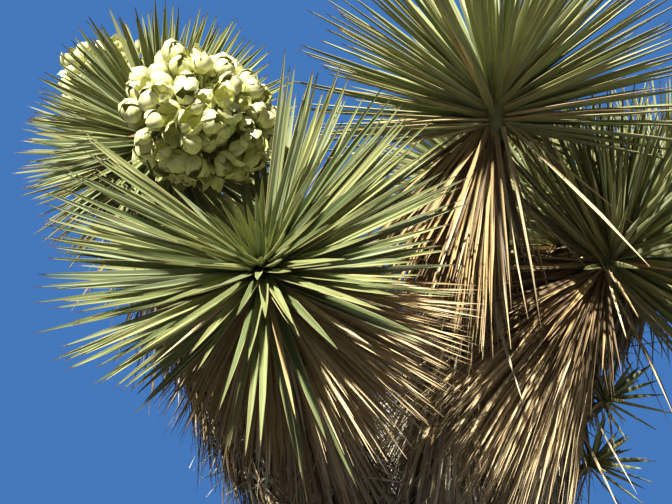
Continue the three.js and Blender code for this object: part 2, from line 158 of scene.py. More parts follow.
# How leaves of one kind vary. A pair is the lowest and highest share or angle, and rooted is a
# share of the bud's length. Wander is the most that a leaf bends, sways or twists, and normal
# gives the mean and the deviation instead.
LIVING = dict(
    lean_error=0.045, turn_error=0.09, rooted=(0.3, 0.78), length=(0.88, 1.03), width=(0.85, 1.12),
    tints=[0.36, 0.26, 0.22, 0.16], droop=(0, 0.018),
    normal=dict(bend=(0.012, 0.016), sway=(0, 0.018), twist=(0, 0.22)),
)
SPEARS = dict(lean=(4, 46), rooted=0.35, length=(0.24, 0.42), width=(1.0, 1.25), bend=0.03)
DRIED = Table(width=0.62, twist=3, tints=[0.4, 0.6])
TURNED = dict(
    lean=(112, 155), hang=(0, 0.35), rooted=(0.02, 0.4), reach=1, length=(0.75, 0.98),
    width=(0.8, 1.2), tints=(0.45, 0.55, 0), wander=dict(bend=0.05, sway=0.05, twist=1.0),
    droop=(0, 0.2),
)

# Where a head's leaves dry or have fallen: those that point within a cone round a way.
# beyond is the cosine of that cone, and from_share leaves the younger ones out. length is a
# share of the usual one.
USUAL_AGEING = [dict(toward=(0, 0, -1), beyond=0.42, from_share=0.5, dried=0.3, gone=0.4)]
AGEING = {
    "front": [
        dict(toward=(0.83, -0.1, -0.55), beyond=0.8, from_share=0.3, dried=0.32, gone=0.5),
        dict(toward=(0.1, -0.2, -0.97), beyond=0.64, from_share=0.25, dried=0.04, gone=0.6),
        dict(toward=(0.94, 0, -0.34), beyond=0.74, from_share=0.1, dried=0, gone=0, length=0.87),
        dict(toward=(-0.5, 0, -0.87), beyond=0.84, from_share=0.1, dried=0, gone=0.1, length=0.84),
    ],
    "flowering_left": [dict(toward=(0, 0, -1), beyond=0.6, from_share=0.5, dried=0.1, gone=0.3)],
    "flowering_back": [dict(toward=(0, 0, -1), beyond=0.6, from_share=0.5, dried=0.05, gone=0.3)],
    "middle": [dict(toward=(0, -0.5, -0.87), beyond=0.45, from_share=0.1, dried=0.1, gone=0.86)],
    "right": [dict(toward=(-0.55, -0.2, -0.8), beyond=0.35, from_share=0.15, dried=0.15, gone=0.8)],
}

# Fans of dried leaves on one side of a head. Spread is to each side, and lean is from the aim.
# The tints are the shares of leaves that are turning, dry and withered; the withered colour also
# serves as painted shade.
FANS = {
    "front": [
        # Nearly all dry: golden dry leaves, with their pale share raised as painted light on this
        # shaded fan
        dict(
            toward=(0.8, -0.1, -0.59), spread=34, leaves=400, lean=(74, 120), reach=0.92,
            tints=(0.06, 0.94, 0),
        ),
        dict(
            toward=(-0.5, -0.1, -0.86), spread=38, leaves=200, lean=(112, 150), reach=0.7,
            tints=(0.7, 0.3, 0), droop=(0, 0.35),
        ),
    ],
    "right": [
        # Mostly withered: painted shade on the upper skirt, which the middle head shades
        dict(
            toward=(-0.78, -0.12, -0.61), spread=48, leaves=380, lean=(108, 160), reach=0.86,
            tints=(0.25, 0.1, 0.65),
        ),
        # Nearly all dry: pale dry leaves, with their share raised as painted light on this shaded
        # lower skirt
        dict(
            toward=(-0.5, -0.3, -0.81), spread=42, leaves=420, lean=(136, 172), reach=1.42,
            tints=(0.08, 0.92, 0), droop=(0, 0.2),
        ),
    ],
    "middle": [
        # A share withered: painted shade on the skirt below this head
        dict(
            toward=(-0.55, -0.35, -0.76), spread=38, leaves=330, lean=(122, 166), reach=1.08,
            tints=(0.6, 0.15, 0.25),
        ),
    ],
}
FAN = dict(
    rooted=(-0.15, 0.25), leaf_width=0.0068, width=(0.7, 1.15), length=(0.7, 1.0),
    wander=dict(bend=0.06, sway=0.05, twist=1.2), droop=(0, 0.06),
)
ROOTED_OUT = 0.8
FACE_TILT = 0.01
BUD_HEIGHTS = np.array([0, 0.2, 0.4, 0.6, 0.8, 0.92, 1.0])
BUD_RADII = np.array([0.7, 0.8, 0.8, 0.66, 0.42, 0.24, 0.04])
BUD_SIDES = 20
BUD_WAVE = 0.08
BUD_WAVES_ROUND = 3
BUD_WAVES_UP = 8
GOLDEN_ANGLE = math.pi * (3 - math.sqrt(5))

# Coats of dead leaves
SKIRT = dict(
    start=0.72, end=1.0, radius_low=0.05, radius_high=0.03, leaves=430, leaf=0.27,
    width=0.0092, flare=22, hang=0.3,
)
THATCH = dict(radius_low=0.074, radius_high=0.056, leaf=0.205, width=0.0068, flare=14, hang=0.16)
THATCH_END = 0.71
THATCH_PER_METRE = 1400
THATCH_GIRTH = 0.13
FORK_END = 0.94
TRUNK_THATCH = dict(start=0.36, end=0.965, radius_low=0.124, radius_high=0.116)

# Leaves that hang from a fork over the thatch below it, as a share of what grows on the rest
COLLAR = Table(reach=0.12, share=0.3, flare=34)
EMERGES = Table(first=0.06, last=0.5, step=0.02, in_coat=0.8, samples=40)
DEAD_LEAF = dict(
    place_error=0.3, turn_error=0.5, flare=(0.2, 1.5), stray_share=0.06, stray_flare=2.2,
    hang=(0.5, 1.6), way_error=0.035, sunk=0.7, length=(0.7, 1.02), width=(0.7, 1.15),
    wander=dict(bend=0.05, sway=0.06, twist=0.7), droop=(0, 0.04),
)
SHREDS = dict(
    share=1.2, rooted=(0.85, 1.1), outward=0.25, back=0.7, way_error=0.5, length=(0.03, 0.1),
    width=(0.003, 0.006), tints=[0.5, 0.3, 0.2], wander=dict(bend=0.3, sway=0.3, twist=1.5),
)
CORE = Table(
    share=0.8, ragged=(0.86, 1.0), step=0.02, fewest=8, corners=28, over_bark=0.001,
)

# Flowers. They crowd in two shells, and flat is the crowd's height over its width.
PANICLES = {
    "flowering_left": dict(length=0.268, radius=0.1, flowers=150, flat=0.86, lean=(0.37, 0, -0.39)),
    "flowering_back": dict(length=0.265, radius=0.08, flowers=86, flat=1.0, lean=(0, 0, 0.06)),
}
CROWD = Table(
    middle=0.58, reach=0.37, wide=1.04, inner=0.68, every=4, depth=(0.93, 1.05), turn_error=0.12,
    lobes=[(0.07, 2, 2.5), (0.05, 5, -4)], rises=0.25, way_error=0.32,
)
FLOWER = Table(
    radius=0.0172, small_share=0.2, small=(0.5, 0.72), full=(0.84, 1.16), closed_power=2.4,
    stretch=(0, 0.26), petals=6, closing=(176, 128), closing_error=9, inner_closing=6,
    curl=(-0.1, 0.6), curl_error=0.25, inner_size=0.86, size_error=0.035, turn_error=0.12,
)
STALKS = Table(
    axis_radius=0.015, axis_end=0.8, axis_sunk=0.03, axis_sides=12, radius=0.003, foot=0.9,
    below=0.14, reach=(0.12, 0.78),
)
BRACTS = dict(
    count=26, rooted=(0.02, 0.3), out=0.012, rises=(0.1, 0.9), length=(0.035, 0.075),
    width=(0.012, 0.02), wander=dict(bend=0.5, twist=1.2, sway=0.3),
)
OLD_STALK = Table(
    on="middle", at=0.7, aim=(0.3, 0.2, 0.93), length=0.3, radius=0.0065, sides=10, twigs=12,
    along=(0.45, 0.98), rises=0.7, twig=(0.025, 0.045), twig_radius=0.0028, bract_rises=0.3,
)

OLD_BRACTS = dict(length=(0.015, 0.03), width=(0.01, 0.016), wander=dict(bend=0.6, twist=1.5))

# Space that leaves keep clear of. The view of a panicle is free of leaves, as the photo shows.
TAKEN_STEP = 0.04
TAKEN_PANICLE = Table(low=0.42, middle=0.6, view=0.3)
LIMB_TAKEN = (0.1, 1.0)

rng = np.random.default_rng(7)


def unit(vectors):
    vectors = np.asarray(vectors, float)
    return vectors / np.maximum(np.linalg.norm(vectors, axis=-1, keepdims=True), 1e-12)


def mix(low, high, share):
    return low + (high - low) * share


def jitter(count, size):
    return rng.uniform(-size, size, count)


def drawn(count, reach):
    """Numbers between the two ends of a reach."""
    return rng.uniform(*reach, count)


class Curve:
    """A Bezier curve whose shares are measured along its length."""

    def __init__(self, points):
        self.points = np.array(points, float)
        self.steps = np.linspace(0, 1, CURVE_STEPS + 1)
        places = self._between(self.points, self.steps)
        lengths = np.linalg.norm(np.diff(places, axis=0), axis=1)
        self.along = np.concatenate([[0], np.cumsum(lengths)])
        self.length = self.along[-1]

    @staticmethod
    def _between(points, steps):
        rows = [np.repeat(point[None], len(steps), axis=0) for point in points]
        share = np.asarray(steps)[:, None]
        while len(rows) > 1:
            rows = [mix(low, high, share) for low, high in zip(rows, rows[1:])]
        return rows[0]

    def _steps_at(self, shares):
        lengths = np.clip(shares, 0, 1) * self.length
        return np.interp(np.atleast_1d(lengths), self.along, self.steps)

    def at(self, shares):
        return self._between(self.points, self._steps_at(shares))

    def way(self, shares):
        return unit(self._between(np.diff(self.points, axis=0), self._steps_at(shares)))


NEARLY_ALONG_X = 0.9


def square_to(ways):
    """A normal and a direction across, square to each way."""
    ways = np.atleast_2d(ways)
    steep = np.abs(ways[:, :1]) < NEARLY_ALONG_X
    normal = np.where(steep, [[1.0, 0, 0]], [[0, 1.0, 0]])
    normal = unit(normal - ways * np.sum(normal * ways, axis=1, keepdims=True))
    return normal, np.cross(normal, ways)


def spoke(normal, across, turn):
    turn = np.asarray(turn)[..., None]
    return normal * np.cos(turn) + across * np.sin(turn)


def around(aim, turns):
    """Directions square to one aim, one for each turn."""
    normal, across = square_to(aim)
    return spoke(normal[0], across[0], turns)


def leaning(out, aim, lean):
    """Ways at an angle from the aim, toward out."""
    lean = lean[:, None]
    return out * np.sin(lean) + aim * np.cos(lean)


def circle(corners):
    return np.arange(corners) * 2 * math.pi / corners


def tube_frame(curve, shares, corners):
    """Places along a curve, turns round it, and the ways out of it, which twist little."""
    ways = curve.way(shares)
    normals = np.empty_like(ways)
    normal = square_to(ways[:1])[0][0]
    for row, way in enumerate(ways):
        normal = unit(normal - way * np.dot(normal, way))
        normals[row] = normal
    across = np.cross(normals, ways)
    turns = np.broadcast_to(circle(corners), (len(shares), corners))
    return curve.at(shares), turns, spoke(normals[:, None], across[:, None], turns)


def tube(places, out, radius):
    return (places[:, None] + out * radius[..., None])[None]


# Limbs. The trunk and each bough have a curve and a radius along it.

def make_trunk():
    top = np.array(TRUNK_TOP)
    curve = Curve([(0, 0, 0), (0, 0, top[2] * TRUNK_BEND), top])

    def radius_at(share, turn=0.0):
        fall = np.exp(-share * top[2] / FLARE_HEIGHT)
        lobe = 1 + LOBE_DEPTH * fall * np.cos(LOBES * turn)
        return (mix(TRUNK_FOOT_RADIUS, TRUNK_TOP_RADIUS, share) + FLARE * fall) * lobe

    return Table(name="trunk", curve=curve, radius_at=radius_at)


def make_bough(name, plan, parent):
    aim = unit(plan["aim"])
    head = SHOOT_HEAD if plan.get("shoot") else HEAD
    start = parent.curve.at(plan["at"])[0]
    tip = np.array(plan["tip"]) if "tip" in plan else np.array(plan["heart"]) - aim * head["below"]
    handle = np.linalg.norm(tip - start) * BOUGH_HANDLE
    leave = unit(plan["leave"])
    curve = Curve([start, start + leave * handle, tip - aim * handle, tip])
    base, end = plan["girth"]

    def radius_at(share):
        return mix(base, end, np.sqrt(share))

    return Table(
        name="bough_" + name, curve=curve, radius_at=radius_at, parent=parent, plan=plan, aim=aim,
        tip=tip, head=head, rosette=unit(plan.get("rosette", aim)),
        reach=head["leaf"] * plan.get("reach", 1),
    )


trunk = make_trunk()
boughs = {}
for name, plan in BOUGHS.items():
    boughs[name] = make_bough(name, plan, trunk if plan["on"] == "trunk" else boughs[plan["on"]])


# Meshes

def swept(rings):
    """Quads over rings of corners. rings is (items, stations, corners, 3), and ends are closed."""
    items, stations, corners, _ = rings.shape
    index = np.arange(items * stations * corners).reshape(items, stations, corners)
    following = np.roll(index, -1, axis=2)
    sides = np.stack([index[:, :-1], following[:, :-1], following[:, 1:], index[:, 1:]], axis=-1)
    rungs = np.arange(corners // 2 - 1)
    ladder = np.stack([rungs, corners - 1 - rungs, corners - 2 - rungs, rungs + 1], axis=-1)
    caps = np.stack([index[:, 0][:, ladder], index[:, -1][:, ladder[:, ::-1]]], axis=1)
    return sides, caps


def signed_volume(vertices, quads):
    a, b, c, d = [vertices[quads[:, corner]] for corner in range(4)]
    return np.sum(np.cross(a, b) * c) + np.sum(np.cross(a, c) * d)


def add_object(name, data):
    thing = bpy.data.objects.new(name, data)
    bpy.context.scene.collection.objects.link(thing)
    return thing


class Pile:
    """Gathers swept items of one kind and makes a single mesh of them."""

    def __init__(self, name, materials):
        self.name = name
        self.materials = materials
        self.vertices, self.quads, self.kinds, self.uvs = [], [], [], []
        self.count = 0

    def add(self, rings, kinds, uv=None):
        """kinds is each side face's material, (items, stations - 1, corners) or less."""
        items, stations, corners, _ = rings.shape
        sides, caps = swept(rings)
        kinds = np.broadcast_to(kinds, sides.shape[:3])
        cap_kinds = np.broadcast_to(kinds[:, :1, :1], caps.shape[:3])
        quads = np.concatenate([sides.reshape(-1, 4), caps.reshape(-1, 4)])
        vertices = rings.reshape(-1, 3)
        if signed_volume(vertices, quads) < 0:
            quads = quads[:, ::-1]
        if uv is None:
            across = np.linspace(0, 1, corners)[None, None]
            along = np.linspace(0, 1, stations)[None, :, None]
            uv = np.stack(np.broadcast_arrays(across + np.zeros((items, 1, 1)), along), axis=-1)
        self.vertices.append(vertices)
        self.quads.append(quads + self.count)
        self.kinds.append(np.concatenate([kinds.ravel(), cap_kinds.ravel()]))
        self.uvs.append(np.broadcast_to(uv, rings.shape[:3] + (2,)).reshape(-1, 2))
        self.count += len(vertices)

    def build(self, replaced, sharp=35):
        vertices = np.concatenate(self.vertices)
        quads = np.concatenate(self.quads)
        uvs = np.concatenate(self.uvs)
        mesh = bpy.data.meshes.new(self.name)
        mesh.vertices.add(len(vertices))
        mesh.vertices.foreach_set("co", vertices.ravel().astype(np.float32))
        mesh.loops.add(quads.size)
        mesh.loops.foreach_set("vertex_index", quads.ravel().astype(np.int32))
        mesh.polygons.add(len(quads))
        mesh.polygons.foreach_set("loop_start", np.arange(0, quads.size, 4, dtype=np.int32))
        mesh.polygons.foreach_set("loop_total", np.full(len(quads), 4, dtype=np.int32))
        mesh.polygons.foreach_set("material_index", np.concatenate(self.kinds).astype(np.int32))
        layer = mesh.uv_layers.new(name="grain")
        layer.data.foreach_set("uv", uvs[quads.ravel()].ravel().astype(np.float32))
        mesh.update(calc_edges=True)
        mesh.polygons.foreach_set("use_smooth", np.ones(len(quads), dtype=bool))
        mesh.set_sharp_from_angle(angle=math.radians(sharp))
        for material in self.materials:
            mesh.materials.append(material)
        piece = add_object(self.name, mesh)
        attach(piece, "root")
        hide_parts(*replaced)


# Materials

RAMP_ENDS = (0.28, 0.72)
PATCHES = (0.42, 0.72)

# The colour sockets of a Mix node go by number, because their names repeat
MIX_SHARE, MIX_FIRST, MIX_SECOND = 0, 6, 7
MIX_COLOUR = 2


def set_inputs(tree, node, inputs):
    """Inputs are plain values, or the outputs of other nodes to link from."""
    for socket, value in inputs.items():
        if isinstance(value, bpy.types.NodeSocket):
            tree.links.new(value, node.inputs[socket])
        else:
            node.inputs[socket].default_value = value
    return node


def new_node(tree, kind, inputs):
    return set_inputs(tree, tree.nodes.new("ShaderNode" + kind), inputs)


def new_tree(owner):
    owner.use_nodes = True
    return owner.node_tree


def plant_material(
    name, dark, base, light, roughness=(0.5, 0.7), streaks=(900, 14), blotch=9.0,
    blotch_colour=None, blotch_share=0.35, bump=0.25, depth=0.0006, specular=0.3,
):
    """Streaks run along the leaf or limb, and blotches lie over them."""
    blotch_colour = dark if blotch_colour is None else blotch_colour
    material = bpy.data.materials.new(name)
    tree = new_tree(material)
    place = tree.nodes.new("ShaderNodeTexCoord").outputs
    stretch = new_node(tree, "Mapping", {"Vector": place["UV"], "Scale": (*streaks, 1)})
    grain = new_node(tree, "TexNoise", {"Vector": stretch.outputs[0], "Scale": 1, "Detail": 4})
    ramp = new_node(tree, "ValToRGB", {"Fac": grain.outputs["Fac"]})
    ends = ramp.color_ramp.elements
    ends[0].position, ends[1].position = RAMP_ENDS
    ends[0].color, ends[1].color = (*dark, 1), (*light, 1)
    ends.new(0.5).color = (*base, 1)
    looks = {"Vector": place["Object"], "Scale": blotch, "Detail": 3}
    patches = new_node(tree, "TexNoise", looks).outputs["Fac"]
    low, high = PATCHES
    reach = {"Value": patches, "From Min": low, "From Max": high, "To Max": blotch_share}
    amount = new_node(tree, "MapRange", reach)
    tinted = tree.nodes.new("ShaderNodeMix")
    tinted.data_type = "RGBA"
    set_inputs(tree, tinted, {
        MIX_SHARE: amount.outputs["Result"],
        MIX_FIRST: ramp.outputs["Color"],
        MIX_SECOND: (*blotch_colour, 1),
    })
    low, high = roughness
    gloss = new_node(tree, "MapRange", {"Value": patches, "To Min": low, "To Max": high})
    height = grain.outputs["Fac"]
    relief = new_node(tree, "Bump", {"Height": height, "Strength": bump, "Distance": depth})
    set_inputs(tree, tree.nodes["Principled BSDF"], {
        "Specular IOR Level": specular,
        "Base Color": tinted.outputs[MIX_COLOUR],
        "Roughness": gloss.outputs["Result"],
        "Normal": relief.outputs["Normal"],
    })
    return material


def leaf_material(name, base):
    base = np.array(base)
    return plant_material(
        name, base * 0.72, base, base * 1.2, roughness=(0.42, 0.6),
        blotch_colour=base * (0.8, 0.72, 0.6), blotch_share=0.4, bump=0.3, specular=0.4,
    )


def dead_material(name, base):
    base = np.array(base)
    return plant_material(
        name, base * 0.55, base, base * 1.2, roughness=(0.75, 0.95), streaks=(1100, 9), blotch=14,
        blotch_colour=(0.3, 0.24, 0.17), bump=0.5, depth=0.001, specular=0.15,
    )


LEAF_GREENS = [
    ("leaf_olive", (0.26, 0.3, 0.125)),
    ("leaf_grey_green", (0.26, 0.31, 0.17)),
    ("leaf_yellow_green", (0.33, 0.36, 0.15)),
    ("leaf_deep_green", (0.15, 0.195, 0.08)),
]
LEAF = [leaf_material(name, base) for name, base in LEAF_GREENS]
LEAF += [
    leaf_material("leaf_margin", (0.5, 0.47, 0.22)),
    # Darker than every green, for leaf bases and the bud: painted shade in the heart of each head
    leaf_material("leaf_base_shade", (0.15, 0.165, 0.065)),
    dead_material("leaf_spine", (0.22, 0.15, 0.1)),
    dead_material("leaf_turning", (0.5, 0.36, 0.17)),
    dead_material("leaf_dry", (0.78, 0.62, 0.37)),
    # Withered leaves, a nearly black brown that also serves as painted shade in the fans
    dead_material("leaf_withered_and_shade", (0.21, 0.145, 0.08)),
]
MARGIN, BASE_SHADE, SPINE, TURNING, DRY, WITHERED_AND_SHADE = range(4, 10)
DRIED_TINTS = [TURNING, DRY, WITHERED_AND_SHADE]
DEAD_TINTS = [
    ("dead_straw", (0.82, 0.73, 0.53)),
    ("dead_tan", (0.66, 0.53, 0.33)),
    ("dead_brown", (0.36, 0.24, 0.12)),
    ("dead_grey", (0.6, 0.54, 0.43)),
    ("dead_pale_grey", (0.86, 0.81, 0.7)),
    # Nearly black: painted shade deep in the coats, dealt out among the dead leaves and over the
    # sleeves under them
    ("dead_painted_shade", (0.05, 0.035, 0.025)),
]
DEAD = [dead_material(name, base) for name, base in DEAD_TINTS]
STRAW, TAN, BROWN, GREY, PALE, PAINTED_SHADE = range(6)
BARK = plant_material(
    "bark_furrowed", (0.07, 0.052, 0.04), (0.19, 0.155, 0.125), (0.33, 0.29, 0.245),
    roughness=(0.85, 1.0), streaks=(120, 26), blotch=6, blotch_colour=(0.26, 0.22, 0.18),
    blotch_share=0.6, bump=0.9, depth=0.004, specular=0.1,
)
TEPAL_GRAIN = dict(streaks=(14, 2), blotch=30, bump=0.15, depth=0.0008)
PETAL = plant_material(
    "tepal_waxy", (0.6, 0.61, 0.25), (0.8, 0.79, 0.44), (0.9, 0.89, 0.62), (0.35, 0.5),
    blotch_colour=(0.56, 0.58, 0.2), blotch_share=0.5, specular=0.45, **TEPAL_GRAIN,
)
PETAL_INSIDE = plant_material(
    "tepal_inside", (0.4, 0.42, 0.12), (0.56, 0.57, 0.2), (0.68, 0.68, 0.33), (0.45, 0.6),
    **TEPAL_GRAIN,
)
PETAL_BASE = plant_material(
    "tepal_base", (0.35, 0.4, 0.11), (0.54, 0.57, 0.2), (0.68, 0.69, 0.33), (0.4, 0.55),
    specular=0.4, **TEPAL_GRAIN,
)
STALK = plant_material(
    "flower_stalk", (0.2, 0.22, 0.08), (0.3, 0.33, 0.13), (0.4, 0.42, 0.2), streaks=(20, 3),
)
BRACT = dead_material("bract_dry", (0.3, 0.18, 0.09))


# Leaves

# A shape is the shares along a leaf, its widths and thicknesses there, and its section.
LIVING_SECTION = np.array([
    (-1, 0.35), (-0.87, 0.5), (0, -0.15), (0.87, 0.5),
    (1, 0.35), (0.87, 0.1), (0, -0.7), (-0.87, 0.1),
])
MARGIN_SIDES = [0, 3, 4, 7]
DEAD_SECTION = np.array([(-1, 0.75), (0, -0.15), (1, 0.75), (0, -0.6)])
LIVING_SHAPE = (
    np.array([0.0, 0.07, 0.4, 0.74, 0.967, 1.0]),
    np.array([1.0, 0.82, 1.0, 0.67, 0.15, 0.03]),
    np.array([0.008, 0.0076, 0.006, 0.004, 0.0018, 0.0005]),
    LIVING_SECTION,
)
DEAD_STATIONS = np.array([0.0, 0.3, 0.7, 1.0])
DEAD_WIDTH = np.array([1.0, 0.9, 0.66, 0.05])
DEAD_THICK = np.array([0.004, 0.0037, 0.0027, 0.0005])
DEAD_SHAPE = (DEAD_STATIONS, DEAD_WIDTH, DEAD_THICK, DEAD_SECTION)
BRACT_THIN = 0.4
BRACT_SHAPE = (DEAD_STATIONS, DEAD_WIDTH, DEAD_THICK * BRACT_THIN, DEAD_SECTION)
SHRED_SHAPE = (np.array([0, 1.0]), np.array([0.9, 0.3]), np.array([0.003, 0.002]), DEAD_SECTION)
USUAL_WIDTH = 0.015
GRAIN_STEP = 0.37
GRAIN_START = 50
DOWN = np.array([0, 0, -1.0])
DROOP_POWER = 2.5


def leaf_rings(leaves, shape):
    """Corners of every leaf. A leaf bends toward its face, droops, sways and twists along it."""
    stations, widths, thicknesses, section = shape
    share = stations[None, :, None]
    root, way, face = [leaves[key][:, None] for key in ("root", "way", "face")]
    length, width, bend, sway, twist, droop = [
        leaves[key][:, None, None] for key in ("length", "width", "bend", "sway", "twist", "droop")
    ]
    side = np.cross(way, face)
    centre = root + way * length * share
    centre = centre + face * bend * length * share**2
    centre = centre + side * sway * length * share**2
    centre = centre + DOWN * droop * length * share**DROOP_POWER
    turn = twist * share
    across = side * np.cos(turn) + face * np.sin(turn)
    upward = face * np.cos(turn) - side * np.sin(turn)
    half = width / 2 * widths[None, :, None]
    thick = thicknesses[None, :, None] * width / USUAL_WIDTH
    x, y = section[:, 0, None], section[:, 1, None]
    rings = centre[:, :, None] + (across * half)[:, :, None] * x
    return rings + (upward * thick)[:, :, None] * y


def leaf_uv(leaves, shape):
    """Across and along each leaf in metres, shifted so that no two leaves share their grain."""
    stations, section = shape[0], shape[-1]
    across = section[None, None, :, 0] * leaves["width"][:, None, None] / 2
    along = stations[None, :, None] * leaves["length"][:, None, None]
    shift = leaves["shift"][:, None, None]
    return np.stack(np.broadcast_arrays(across + shift, along + shift * 3), axis=-1)


def picked(leaves, mask):
    return {key: values[mask] for key, values in leaves.items()}


def joined(groups):
    return {key: np.concatenate([group[key] for group in groups]) for key in groups[0]}


def lay(root, way, face, vary, length=1, width=1, tints=None, chances=None):
    """A group of leaves that vary as the table of their kind says."""
    count = len(root)
    face = unit(face - way * np.sum(face * way, axis=1, keepdims=True))
    leaves = dict(root=root, way=way, face=face)
    leaves["length"] = length * drawn(count, vary["length"])
    leaves["width"] = width * drawn(count, vary["width"])
    leaves["tint"] = np.zeros(count, int) if tints is None else rng.choice(tints, count, p=chances)
    for key in ("bend", "sway", "twist", "droop"):
        leaves[key] = np.zeros(count)
    leaves["bend"] += vary.get("bend", 0)
    for key, size in vary.get("wander", {}).items():
        leaves[key] = jitter(count, size)
    for key, (mean, deviation) in vary.get("normal", {}).items():
        leaves[key] = rng.normal(mean, deviation, count)
    if "droop" in vary:
        leaves["droop"] = drawn(count, vary["droop"])
    leaves["shift"] = np.arange(count) * GRAIN_STEP + rng.uniform(0, GRAIN_START)
    return leaves


def add_living(pile, leaves):
    shape = LIVING_SHAPE
    kinds = np.empty((len(leaves["root"]), len(shape[0]) - 1, len(LIVING_SECTION)), int)
    kinds[:] = leaves["tint"][:, None, None]
    green = leaves["tint"] < MARGIN
    kinds[np.ix_(green, range(kinds.shape[1]), MARGIN_SIDES)] = MARGIN
    # The lowest stretch of each green leaf gets the painted shade of the head's heart
    kinds[:, 0] = np.where(green, BASE_SHADE, TURNING)[:, None]
    kinds[:, -1] = SPINE
    pile.add(leaf_rings(leaves, shape), kinds, uv=leaf_uv(leaves, shape))


def add_dead(pile, leaves, shape=DEAD_SHAPE):
    kinds = leaves["tint"][:, None, None]
    pile.add(leaf_rings(leaves, shape), kinds, uv=leaf_uv(leaves, shape))


# Space that is taken: stretches with a radius, each owned by a limb

def segment_gaps(starts, ends, low, high):
    """Distance between each of many stretches and one other."""
    first, second = ends - starts, high - low
    apart = starts - low
    a = np.sum(first * first, axis=1)
    e = np.dot(second, second)
    f = apart @ second
    c = np.sum(first * apart, axis=1)
    b = first @ second
    denominator = np.maximum(a * e - b * b, 1e-12)
    s = np.clip((b * f - c * e) / denominator, 0, 1)
    t = np.clip((b * s + f) / e, 0, 1)
    s = np.clip((b * t - c) / np.maximum(a, 1e-12), 0, 1)
    nearest = starts + first * s[:, None] - (low + second * t[:, None])
    return np.linalg.norm(nearest, axis=1)


taken = []


def take(owner, start, end, radius):
    taken.append((owner, np.array(start), np.array(end), radius))


SHORTENED = (1, 0.82, 0.64)
BARE_SHARE = 0.13


def fitted(leaves, owners):
    """Leaves as long as their space lets them be, without those that would touch a limb."""
    others = [rest for owner, *rest in taken if owner not in owners]
    thickness = leaves["width"].max() / 2
    length = leaves["length"].copy()
    waiting = np.ones(len(length), bool)
    for share in SHORTENED:
        ends = leaves["root"] + leaves["way"] * (leaves["length"] * share)[:, None]
        starts = mix(leaves["root"], ends, BARE_SHARE)
        clear = np.ones(len(length), bool)
        for low, high, radius in others:
            clear &= segment_gaps(starts, ends, low, high) > thickness + radius
        length[waiting & clear] *= share
        waiting &= ~clear
    return picked({**leaves, "length": length}, ~waiting)


# Coats of dead leaves

def out_of(bough, radius):
    """The share along a bough where it comes out of its parent's coat."""
    parent_points = bough.parent.curve.at(np.linspace(0, 1, EMERGES.samples + 1))
    for share in np.arange(EMERGES.first, EMERGES.last, EMERGES.step):
        point = bough.curve.at(share)[0]
        if np.all(np.linalg.norm(parent_points - point, axis=1) > radius):
            return share
    return EMERGES.last


def dead_leaves(limb, look, count, tints, chances):
    """Dead leaves point back down their limb, outward, and down under their own weight."""
    vary = DEAD_LEAF
    along = (np.arange(count) + 0.5) / count
    shares = mix(look["end"], look["start"], along) + jitter(count, vary["place_error"] / count)
    ways = limb.curve.way(shares)
    turns = np.arange(count) * GOLDEN_ANGLE + jitter(count, vary["turn_error"])
    out = spoke(*square_to(ways), turns)
    flare = np.radians(look["flare"] * drawn(count, vary["flare"]))
    flare = flare * np.where(rng.random(count) < vary["stray_share"], vary["stray_flare"], 1)
    way = leaning(out, -ways, flare)
    way[:, 2] -= look["hang"] * drawn(count, vary["hang"])
    way = unit(way + rng.normal(0, vary["way_error"], (count, 3)))
    surface = mix(look["radius_high"], look["radius_low"], along) * vary["sunk"]
    root = limb.curve.at(shares) + out * surface[:, None]
    return lay(root, way, out, vary, look["leaf"], look["width"], tints, chances)


def shreds(limb, look, count):
    """Broken bits of old leaf, bleached and lying all ways over the thatch."""
    reach = (look["start"], look["end"])
    shares = drawn(count, reach)
    ways = limb.curve.way(shares)
    out = spoke(*square_to(ways), drawn(count, (0, 2 * math.pi)))
    surface = np.interp(shares, reach, (look["radius_low"], look["radius_high"]))
    root = limb.curve.at(shares) + out * (surface * drawn(count, SHREDS["rooted"]))[:, None]
    error = rng.normal(0, SHREDS["way_error"], (count, 3))
    way = unit(out * SHREDS["outward"] - ways * SHREDS["back"] + error)
    return lay(root, way, out, SHREDS, tints=[PALE, GREY, STRAW], chances=SHREDS["tints"])


def core_rings(limb, look):
    """A ragged sleeve of matted old leaf bases under a coat."""
    stretch = look["end"] - look["start"]
    rings = max(CORE.fewest, int(limb.curve.length * stretch / CORE.step))
    shares = np.linspace(look["start"], look["end"], rings)
    places, turns, out = tube_frame(limb.curve, shares, CORE.corners)
    share = (shares - look["start"]) / stretch
    radius = mix(look["radius_low"], look["radius_high"], share) * CORE.share
    radius = radius[:, None] * drawn(turns.shape, CORE.ragged)
    bark = limb.radius_at(shares)[:, None] + CORE.over_bark
    return tube(places, out, np.maximum(radius, bark))


THATCH_TINTS = ([GREY, PALE, BROWN, PAINTED_SHADE, TAN], [0.36, 0.22, 0.2, 0.1, 0.12])
# Paler mix for the coats on the trunk, the back fork and the middle and right boughs: bleached
# leaves, made paler still as painted light where they lie in shade
BLEACHED_AND_LIT_TINTS = ([PALE, STRAW, GREY, TAN, PAINTED_SHADE], [0.42, 0.24, 0.2, 0.08, 0.06])
SKIRT_TINTS = ([STRAW, TAN, BROWN, GREY, PALE], [0.26, 0.38, 0.2, 0.08, 0.08])
